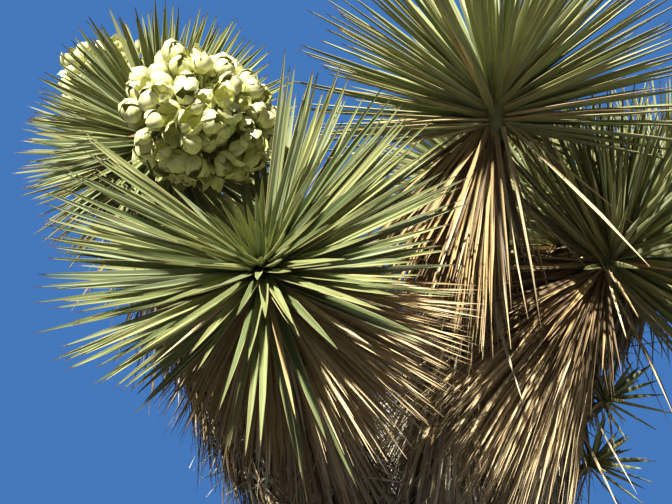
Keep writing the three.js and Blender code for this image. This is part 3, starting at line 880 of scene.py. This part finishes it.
# Darker mix for the coats under the front and flowering heads: brown leaves, darkened further as
# painted shade
BROWN_AND_SHADE_TINTS = ([TAN, BROWN, GREY, PAINTED_SHADE, STRAW], [0.24, 0.38, 0.14, 0.16, 0.08])
BLEACHED_AND_LIT_COATS = ["thatch_trunk", "thatch_back_fork", "thatch_middle", "thatch_right"]
BROWN_AND_SHADE_COATS = ["thatch_left_fork", "thatch_front", "thatch_flowering_left", "skirt_front"]
BROWN_AND_SHADE_COATS += ["skirt_flowering_left"]
COAT_TINTS = {
    **dict.fromkeys(BLEACHED_AND_LIT_COATS, BLEACHED_AND_LIT_TINTS),
    **dict.fromkeys(BROWN_AND_SHADE_COATS, BROWN_AND_SHADE_TINTS),
}
coats = []


def plan_coats():
    coats.append((trunk, "thatch_trunk", {**THATCH, **TRUNK_THATCH}))
    for name, bough in boughs.items():
        if bough.plan.get("shoot"):
            continue
        on_trunk = bough.parent is trunk
        parent_radius = TRUNK_THATCH["radius_high"] if on_trunk else THATCH["radius_low"]
        start = out_of(bough, parent_radius * EMERGES.in_coat)
        coat = bough.plan.get("coat")
        radii = dict(radius_low=coat, radius_high=coat) if coat else {}
        look = {**THATCH, **radii, "start": start, "end": FORK_END if coat else THATCH_END}
        coats.append((bough, "thatch_" + name, look))
        if not coat:
            coats.append((bough, "skirt_" + name, {**SKIRT, **bough.plan.get("skirt", {})}))


def take_along(owner, curve, start, end, radius_low, radius_high):
    shares = np.linspace(start, end, max(2, int((end - start) * curve.length / TAKEN_STEP)))
    places = curve.at(shares)
    for row in range(len(places) - 1):
        radius = mix(radius_low, radius_high, row / len(places))
        take(owner, places[row], places[row + 1], radius)


def grow_coat(limb, node, look):
    is_skirt = node.startswith("skirt")
    tints = COAT_TINTS.get(node, SKIRT_TINTS if is_skirt else THATCH_TINTS)
    count = look.get("leaves")
    if count is None:
        count = int(limb.curve.length * (look["end"] - look["start"]) * THATCH_PER_METRE)
        count = int(count * (look["radius_low"] + look["radius_high"]) / THATCH_GIRTH)
    pile = Pile("dead_leaves_" + node, DEAD)
    add_dead(pile, dead_leaves(limb, look, count, *tints))
    if look["end"] > THATCH_END and not is_skirt:
        collar = {**look, "start": 1 - COLLAR.reach, "end": 1, "flare": COLLAR.flare}
        add_dead(pile, dead_leaves(limb, collar, int(count * COLLAR.share), *tints))
    if not is_skirt:
        add_dead(pile, shreds(limb, look, int(count * SHREDS["share"])), SHRED_SHAPE)
    # The sleeve is painted near-black, as painted shade inside the coat
    pile.add(core_rings(limb, look), PAINTED_SHADE)
    pile.build([node])


# Heads of living leaves

def bud_of(bough):
    foot = bough.tip
    return foot, foot + bough.aim * bough.head["core_length"]


def living_leaves(name, bough, foot, top):
    look, vary = bough.head, LIVING
    count = look["leaves"]
    index = np.arange(count)
    share = (index + 0.5) / count
    spread = mix(look["first"], 1, share)
    open_angle = math.radians(bough.plan.get("open", look["open_angle"]))
    lean = np.arccos(1 - spread * (1 - math.cos(open_angle)))
    lean = lean + rng.normal(0, vary["lean_error"], count)
    turn = index * GOLDEN_ANGLE + rng.normal(0, vary["turn_error"], count)
    out = around(bough.rosette, turn)
    way = unit(leaning(out, bough.rosette, lean))
    face = leaning(bough.rosette, -out, lean)
    root = mix(top, foot, mix(*vary["rooted"], share)[:, None])
    young = np.minimum(1, share / look["young_share"])
    length = bough.reach * mix(look["youngest"], 1, young)
    greens = len(LEAF_GREENS)
    leaves = lay(root, way, face, vary, length, look["width"], greens, vary["tints"])
    kept = np.ones(count, bool)
    for rule in AGEING.get(name, USUAL_AGEING):
        lot = rng.random(count)
        aged = (share > rule["from_share"]) & (way @ unit(rule["toward"]) > rule["beyond"])
        dried = aged & (lot < rule["dried"])
        tints = rng.choice([TURNING, DRY], np.count_nonzero(dried), p=DRIED.tints)
        leaves["tint"][dried] = tints
        leaves["width"][dried] *= DRIED.width
        leaves["twist"][dried] *= DRIED.twist
        leaves["length"][aged] *= rule.get("length", 1)
        kept &= ~(aged & (lot > 1 - rule["gone"]))
    return picked(leaves, kept)


def spear_leaves(bough, top):
    """Short broad leaves that close over the growing tip."""
    look = bough.head
    count = look["spears"]
    out = around(bough.rosette, np.arange(count) * GOLDEN_ANGLE)
    lean = np.radians(mix(*SPEARS["lean"], (np.arange(count) + 0.5) / count))
    way = unit(leaning(out, bough.rosette, lean))
    middle = top - bough.aim * look["core_length"] * SPEARS["rooted"]
    root = middle + out * look["core_radius"] * SPEARS["rooted"]
    return lay(root, way, -out, SPEARS, bough.reach, look["width"], len(LEAF_GREENS))


def low_leaves(bough, foot, out, way, look):
    """Dried leaves that grow from the lower part of the bud."""
    count = len(out)
    height = (bough.head["core_length"] * drawn(count, look["rooted"]))[:, None]
    root = foot + bough.aim * height + out * bough.head["core_radius"] * ROOTED_OUT
    face = bough.aim + out * FACE_TILT
    length, width, tints = bough.reach * look["reach"], look["leaf_width"], DRIED_TINTS
    return lay(root, way, face, look, length, width, tints, look["tints"])


def turning_leaves(bough, foot):
    """The oldest living leaves, bent back and drying, where the head meets its skirt."""
    head = bough.head
    look = {**TURNED, "leaf_width": head["width"] * DRIED.width}
    count = bough.plan.get("turning", head["turning"])
    out = around(bough.aim, np.arange(count) * GOLDEN_ANGLE + 1)
    first, last = look["lean"]
    first = min(bough.plan.get("open", head["open_angle"]), first)
    way = leaning(out, bough.aim, np.radians(drawn(count, (first, last))))
    way[:, 2] -= drawn(count, look["hang"])
    return low_leaves(bough, foot, out, unit(way), look)


def fan_leaves(bough, foot, fan):
    """Dried leaves that spread over one side, below the living ones."""
    count = fan["leaves"]
    toward = unit(fan["toward"])
    middle = unit(toward - bough.aim * np.dot(toward, bough.aim))
    side = np.cross(bough.aim, middle)
    out = spoke(middle, side, np.radians(jitter(count, fan["spread"])))
    way = unit(leaning(out, bough.aim, np.radians(drawn(count, fan["lean"]))))
    return low_leaves(bough, foot, out, way, {**FAN, **fan})


def bud_rings(bough, foot, top):
    turns, heights = circle(BUD_SIDES), BUD_HEIGHTS[:, None]
    wave = 1 + BUD_WAVE * np.cos(BUD_WAVES_ROUND * turns + BUD_WAVES_UP * heights)
    radius = BUD_RADII[:, None] * bough.head["core_radius"] * wave
    return tube(mix(foot, top, heights), around(bough.aim, turns), radius)


def grow_head(name, bough):
    foot, top = bud_of(bough)
    owners = ["head_" + name, bough.name, "thatch_" + name, "skirt_" + name]
    living = [fitted(living_leaves(name, bough, foot, top), owners)]
    if name not in PANICLES:
        living.append(spear_leaves(bough, top))
    dried = [fitted(turning_leaves(bough, foot), owners)]
    dried += [fitted(fan_leaves(bough, foot, fan), owners) for fan in FANS.get(name, [])]
    pile = Pile("leaves_" + name, LEAF)
    add_living(pile, joined(living))
    add_dead(pile, joined(dried))
    # The bud is painted with the heart's shade colour
    pile.add(bud_rings(bough, foot, top), BASE_SHADE)
    pile.build(["head_" + name])


# Flowers

TEPAL_STATIONS = np.array([0.0, 0.2, 0.42, 0.66, 0.86, 1.0])
TEPAL_WIDTH = np.array([0.35, 0.84, 1.0, 0.92, 0.6, 0.12])
TEPAL_ACROSS = np.array([-1, -0.5, 0, 0.5, 1.0])
TEPAL = Table(
    half_angle=0.8, widths=(0.8, 1.12), slant=0.22, keel=0.1, crease=0.045, creases_along=7,
    creases_over=4, tip_from=0.6, tip_curl=4, thick=0.0024, thin_edge=0.75, thin_from=0.2,
    thin_end=0.45,
)
GREEN_BASE_STATIONS = 2
OUTSIDE, INSIDE, GREEN_BASE = range(3)


def tepal_rings(centre, aim, radius, azimuth, closing, curl, stretch):
    """One tepal of each flower: a thick, keeled and creased spoon that closes over its middle."""
    count = len(centre)
    out = spoke(*square_to(aim), azimuth)
    side = np.cross(aim, out)
    fall = (TEPAL_STATIONS[None, :] * closing[:, None])[..., None]
    meridian = out[:, None] * np.sin(fall) - aim[:, None] * np.cos(fall)
    along = TEPAL_STATIONS[None, :, None]
    over = TEPAL_ACROSS[None, None, :]
    half = TEPAL_WIDTH[None, :, None] * TEPAL.half_angle
    half = half * drawn(count, TEPAL.widths)[:, None, None]
    angle = half * over + rng.normal(0, TEPAL.slant, count)[:, None, None] * along
    direction = meridian[:, :, None] * np.cos(angle)[..., None]
    direction = direction + side[:, None, None] * np.sin(angle)[..., None]
    keel = TEPAL.keel * (1 - np.abs(over)) * np.sin(math.pi * along)
    phase = rng.uniform(0, 2 * math.pi, count)[:, None, None]
    crease = TEPAL.creases_along * along + TEPAL.creases_over * over + phase
    crease = TEPAL.crease * np.sin(crease)
    tip = np.clip(along - TEPAL.tip_from, 0, 1) ** 2
    tip = curl[:, None, None] * tip * TEPAL.tip_curl
    size = radius[:, None, None] * (1 + keel + crease + tip)
    pull = 1 + stretch[:, None, None] * np.sum(direction * aim[:, None, None], axis=-1)
    outer = direction * (size * pull)[..., None]
    thinning = np.interp(TEPAL_STATIONS, [TEPAL.thin_from, 1], [1, TEPAL.thin_end])
    thick = TEPAL.thick * (1 - TEPAL.thin_edge * np.abs(over)) * thinning[None, :, None]
    inner = outer - direction * thick[..., None]
    rings = np.concatenate([outer, inner[:, :, ::-1]], axis=2)
    return centre[:, None, None] + rings


def flower_places(plan, foot, aim):
    """Centres and aims of the flowers, crowded over an egg shape in two shells."""
    count = plan["flowers"]
    index = np.arange(count)
    height = 1 - 2 * (index + 0.5) / count
    inner = index % CROWD.every == CROWD.every - 1
    shell = np.where(inner, CROWD.inner, 1.0) * drawn(count, CROWD.depth)
    turn = index * GOLDEN_ANGLE + jitter(count, CROWD.turn_error)
    lobes = 1
    for size, round_it, up_it in CROWD.lobes:
        lobes = lobes + size * np.sin(round_it * turn + up_it * height)
    ring = np.sqrt(1 - height**2) * plan["radius"] * CROWD.wide * lobes * shell
    out = around(aim, turn)
    along = plan["length"] * (CROWD.middle + CROWD.reach * height * shell)
    places = foot + aim * along[:, None] + out * ring[:, None] * (1, 1, plan["flat"])
    rising = aim * (height + CROWD.rises)[:, None]
    outward = unit(out * np.sqrt(1 - height**2)[:, None] + rising)
    outward = unit(outward + rng.normal(0, CROWD.way_error, (count, 3)))
    return places, outward


STALK_SHARES = np.array([0, 0.5, 1.0])
STALK_SIZES = np.array([1.15, 0.85, 1.0])


def stalk_rings(starts, ends, radius, sides=6):
    """Straight stalks that taper a little, one for each start and end."""
    normal, across = square_to(unit(ends - starts))
    out = spoke(normal[:, None], across[:, None], circle(sides))
    centre = mix(starts[:, None], ends[:, None], STALK_SHARES[None, :, None])
    return centre[:, :, None] + out[:, None] * radius * STALK_SIZES[None, :, None, None]


def panicle_aim(name, plan):
    return unit(boughs[name].aim + np.array(plan["lean"]))


def take_panicle(name, plan):
    """The panicle's space, and the view of it from the camera."""
    top = bud_of(boughs[name])[1]
    aim = panicle_aim(name, plan)
    low = top + aim * plan["length"] * TAKEN_PANICLE.low
    middle = top + aim * plan["length"] * TAKEN_PANICLE.middle
    near = middle + unit(np.array(CAMERA_PLACE) - middle) * TAKEN_PANICLE.view
    take("panicle_" + name, low, middle, plan["radius"])
    take("panicle_" + name, middle, near, plan["radius"])


def grow_panicle(name, plan):
    top = bud_of(boughs[name])[1]
    aim = panicle_aim(name, plan)
    places, outward = flower_places(plan, top, aim)
    count, look = len(places), FLOWER
    small = rng.random(count) < look.small_share
    sizes = np.where(small, drawn(count, look.small), drawn(count, look.full))
    radius = look.radius * sizes
    flowers = Pile("flowers_" + name, [PETAL, PETAL_INSIDE, PETAL_BASE])
    openness = rng.uniform(0, 1, count) ** look.closed_power
    turn = drawn(count, (0, 2 * math.pi))
    stretch = drawn(count, look.stretch)
    sides = len(TEPAL_ACROSS)
    kinds = np.full((count, len(TEPAL_STATIONS) - 1, 2 * sides), OUTSIDE)
    kinds[:, :GREEN_BASE_STATIONS] = GREEN_BASE
    kinds[..., sides:-1] = INSIDE
    for petal, spot in enumerate(circle(look.petals)):
        inner = petal % 2
        closing = mix(*look.closing, openness) + rng.normal(0, look.closing_error, count)
        closing = np.radians(closing - look.inner_closing * inner)
        curl = mix(*look.curl, openness) + rng.normal(0, look.curl_error, count)
        size = (look.inner_size if inner else 1) + rng.normal(0, look.size_error, count)
        azimuth = turn + spot + rng.normal(0, look.turn_error, count)
        rings = tepal_rings(places, outward, radius * size, azimuth, closing, curl, stretch)
        flowers.add(rings, kinds)
    flowers.build(["panicle_" + name], sharp=60)
    grow_stalks(name, plan, top, aim, places, outward, radius)


def add_bracts(pile, root, way, aim, vary, kind):
    pile.add(leaf_rings(lay(root, way, aim, vary), BRACT_SHAPE), kind)


def grow_stalks(name, plan, top, aim, places, outward, radius):
    pile = Pile("stalks_" + name, [STALK, BRACT])
    look, length = STALKS, plan["length"]
    axis_end = top + aim * length * look.axis_end
    axis_start = top - boughs[name].aim * look.axis_sunk
    axis = stalk_rings(axis_start[None], axis_end[None], look.axis_radius, look.axis_sides)
    pile.add(axis, 0)
    feet = places - outward * (radius * look.foot)[:, None]
    shares = np.clip(((feet - top) @ aim) / length - look.below, *look.reach)
    starts = top + aim * (shares * length)[:, None]
    pile.add(stalk_rings(starts, feet, look.radius), 0)
    count = BRACTS["count"]
    out = around(aim, np.arange(count) * GOLDEN_ANGLE)
    height = (length * drawn(count, BRACTS["rooted"]))[:, None]
    root = top + aim * height + out * BRACTS["out"]
    way = unit(out + aim * drawn(count, BRACTS["rises"])[:, None])
    add_bracts(pile, root, way, aim, BRACTS, 1)
    pile.build(["panicle_" + name])


def grow_old_stalk():
    look = OLD_STALK
    start = mix(*bud_of(boughs[look.on]), look.at)
    aim = unit(look.aim)
    end = start + aim * look.length
    pile = Pile("dry_flower_stalk", [BRACT])
    pile.add(stalk_rings(start[None], end[None], look.radius, look.sides), 0)
    count = look.twigs
    shares = np.linspace(*look.along, count)
    out = around(aim, np.arange(count) * GOLDEN_ANGLE)
    starts = mix(start, end, shares[:, None])
    ends = starts + unit(out + aim * look.rises) * drawn(count, look.twig)[:, None]
    pile.add(stalk_rings(starts, ends, look.twig_radius), 0)
    add_bracts(pile, ends, unit(out + aim * look.bract_rises), aim, OLD_BRACTS, 0)
    pile.build(["old_stalk"])


# Bark

PLATES = Table(
    width=0.036, height=0.085, fewest=5, aside=(0.1, 0.9), crack_width=0.3, crack_depth=0.013,
    fall=1.5,
)

# A wave's numbers are how often it goes up the trunk and round it. Wander is in radians.
FOOT = Table(
    corners=160, rings=160, rings_above=20, under_thatch=0.05, wander=0.012 / 0.085,
    wander_wave=(9, 3), ripple=0.0015, ripple_wave=(190, 5), ripple_lean=6, raised=0.002,
)
SCARS = Table(
    corners=24, shoot_corners=12, fewest=12, ring=0.009, apart=0.018, depth=0.035, lean=3, lobes=5,
    uv=0.04,
)


def plate_relief(arc, height, round_length):
    """How deep the cracks between bark plates are at each place, from 0 on a plate to 1."""
    columns = max(PLATES.fewest, int(round(round_length / PLATES.width)))
    rows = int(np.ceil(height.max() / PLATES.height)) + 2
    column, row = np.meshgrid(np.arange(columns), np.arange(-1, rows), indexing="ij")
    column = column + drawn(column.shape, PLATES.aside)
    row = row + drawn(row.shape, (0, 1))
    across = arc / round_length * columns
    depth = np.empty(across.shape)
    for station in range(across.shape[0]):
        side = across[station][:, None] - column.ravel()
        side = side - columns * np.round(side / columns)
        rise = (height[station] / PLATES.height)[:, None] - row.ravel()
        nearest = np.sort(np.hypot(side, rise), axis=1)
        gap = nearest[:, 1] - nearest[:, 0]
        depth[station] = np.clip(1 - gap / PLATES.crack_width, 0, 1)
    return depth**PLATES.fall


def trunk_rings():
    bare = TRUNK_THATCH["start"] + FOOT.under_thatch
    above = np.linspace(bare, 1, FOOT.rings_above)[1:]
    shares = np.concatenate([np.linspace(0, bare, FOOT.rings), above])
    places, turns, out = tube_frame(trunk.curve, shares, FOOT.corners)
    height = np.broadcast_to((shares * trunk.curve.length)[:, None], turns.shape)
    up, round_it = FOOT.wander_wave
    wandered = turns + FOOT.wander * np.sin(up * height + round_it * turns)
    round_length = 2 * math.pi * TRUNK_FOOT_RADIUS
    depth = plate_relief(wandered * TRUNK_FOOT_RADIUS, height, round_length)
    up, round_it = FOOT.ripple_wave
    ripple = np.sin(up * height + FOOT.ripple_lean * np.sin(round_it * turns))
    ripple = FOOT.ripple * ripple * (1 - depth)
    radius = trunk.radius_at(shares[:, None], turns)
    radius = radius - PLATES.crack_depth * depth + ripple + FOOT.raised
    rings = tube(places, out, radius)
    rings[..., 0, :, 2] = 0
    return rings, np.stack([turns * TRUNK_FOOT_RADIUS, height], -1)[None]


def bough_rings(bough):
    """A bough's bark is ringed by the scars of its fallen leaves."""
    look, length = SCARS, bough.curve.length
    corners = look.shoot_corners if bough.plan.get("shoot") else look.corners
    shares = np.linspace(0, 1, max(look.fewest, int(length / look.ring)))
    places, turns, out = tube_frame(bough.curve, shares, corners)
    height = (shares * length)[:, None]
    scars = np.sin(2 * math.pi * height / look.apart + look.lean * turns)
    scars = look.depth * scars * np.cos(look.lobes * turns)
    radius = bough.radius_at(shares)[:, None] * (1 + scars)
    uv = np.stack(np.broadcast_arrays(turns * look.uv, height), -1)
    return tube(places, out, radius), uv[None]


def grow_bark():
    barks = [("trunk", "trunk", trunk_rings())]
    barks += [(name, bough.name, bough_rings(bough)) for name, bough in boughs.items()]
    for name, node, (rings, uv) in barks:
        pile = Pile("bark_" + name, [BARK])
        pile.add(rings, 0, uv=uv)
        pile.build([node], sharp=80)


# Stage

def plain_material(name, colour):
    material = bpy.data.materials.new(name)
    tree = new_tree(material)
    looks = {"Base Color": (*colour, 1), "Roughness": FLOOR_ROUGHNESS}
    set_inputs(tree, tree.nodes["Principled BSDF"], looks)
    return material


def set_stage():
    bpy.ops.mesh.primitive_plane_add(size=FLOOR_SIZE, location=(0, 0, FLOOR_HEIGHT))
    floor = bpy.context.object
    floor.name = "floor"
    floor.data.materials.append(plain_material("floor_pale", FLOOR_COLOUR))
    floor.visible_diffuse = False
    sun = bpy.data.lights.new("sun", "SUN")
    sun.energy = SUN_STRENGTH
    sun.angle = math.radians(SUN_ANGLE)
    sun.color = SUN_COLOUR
    lamp = add_object("sun", sun)
    lamp.rotation_euler = Vector(SUN_FROM).to_track_quat("Z", "Y").to_euler()
    world = bpy.data.worlds.new("plain")
    bpy.context.scene.world = world
    tree = new_tree(world)
    light = {"Color": (*FILL_COLOUR, 1), "Strength": FILL_STRENGTH}
    light = set_inputs(tree, tree.nodes["Background"], light).outputs[0]
    backdrop = new_node(tree, "Background", {"Color": (*BACKDROP_COLOUR, 1)}).outputs[0]
    seen = tree.nodes.new("ShaderNodeLightPath").outputs["Is Camera Ray"]
    chosen = new_node(tree, "MixShader", {0: seen, 1: light, 2: backdrop})
    set_inputs(tree, tree.nodes["World Output"], {"Surface": chosen.outputs[0]})


def set_camera():
    bpy.context.scene.view_settings.view_transform = "Standard"
    data = bpy.data.cameras.new("camera")
    data.sensor_width = SENSOR_WIDTH
    data.lens = SENSOR_WIDTH / 2 / math.tan(math.radians(CAMERA_HALF_ANGLE))
    camera = add_object("camera", data)
    camera.location = CAMERA_PLACE
    camera.rotation_euler = (math.radians(90 + CAMERA_PITCH), 0, 0)
    bpy.context.scene.camera = camera


set_camera()
set_stage()
plan_coats()
for limb in [trunk, *boughs.values()]:
    radii = [float(limb.radius_at(share)) for share in LIMB_TAKEN]
    take_along(limb.name, limb.curve, 0, 1, *radii)
for limb, node, look in coats:
    radii = [look[key] * CORE.share for key in ("radius_low", "radius_high")]
    take_along(node, limb.curve, look["start"], look["end"], *radii)
for name, plan in PANICLES.items():
    take_panicle(name, plan)
grow_bark()
for name, bough in boughs.items():
    if "heart" in bough.plan:
        grow_head(name, bough)
for coat in coats:
    grow_coat(*coat)
for name, plan in PANICLES.items():
    grow_panicle(name, plan)
grow_old_stalk()
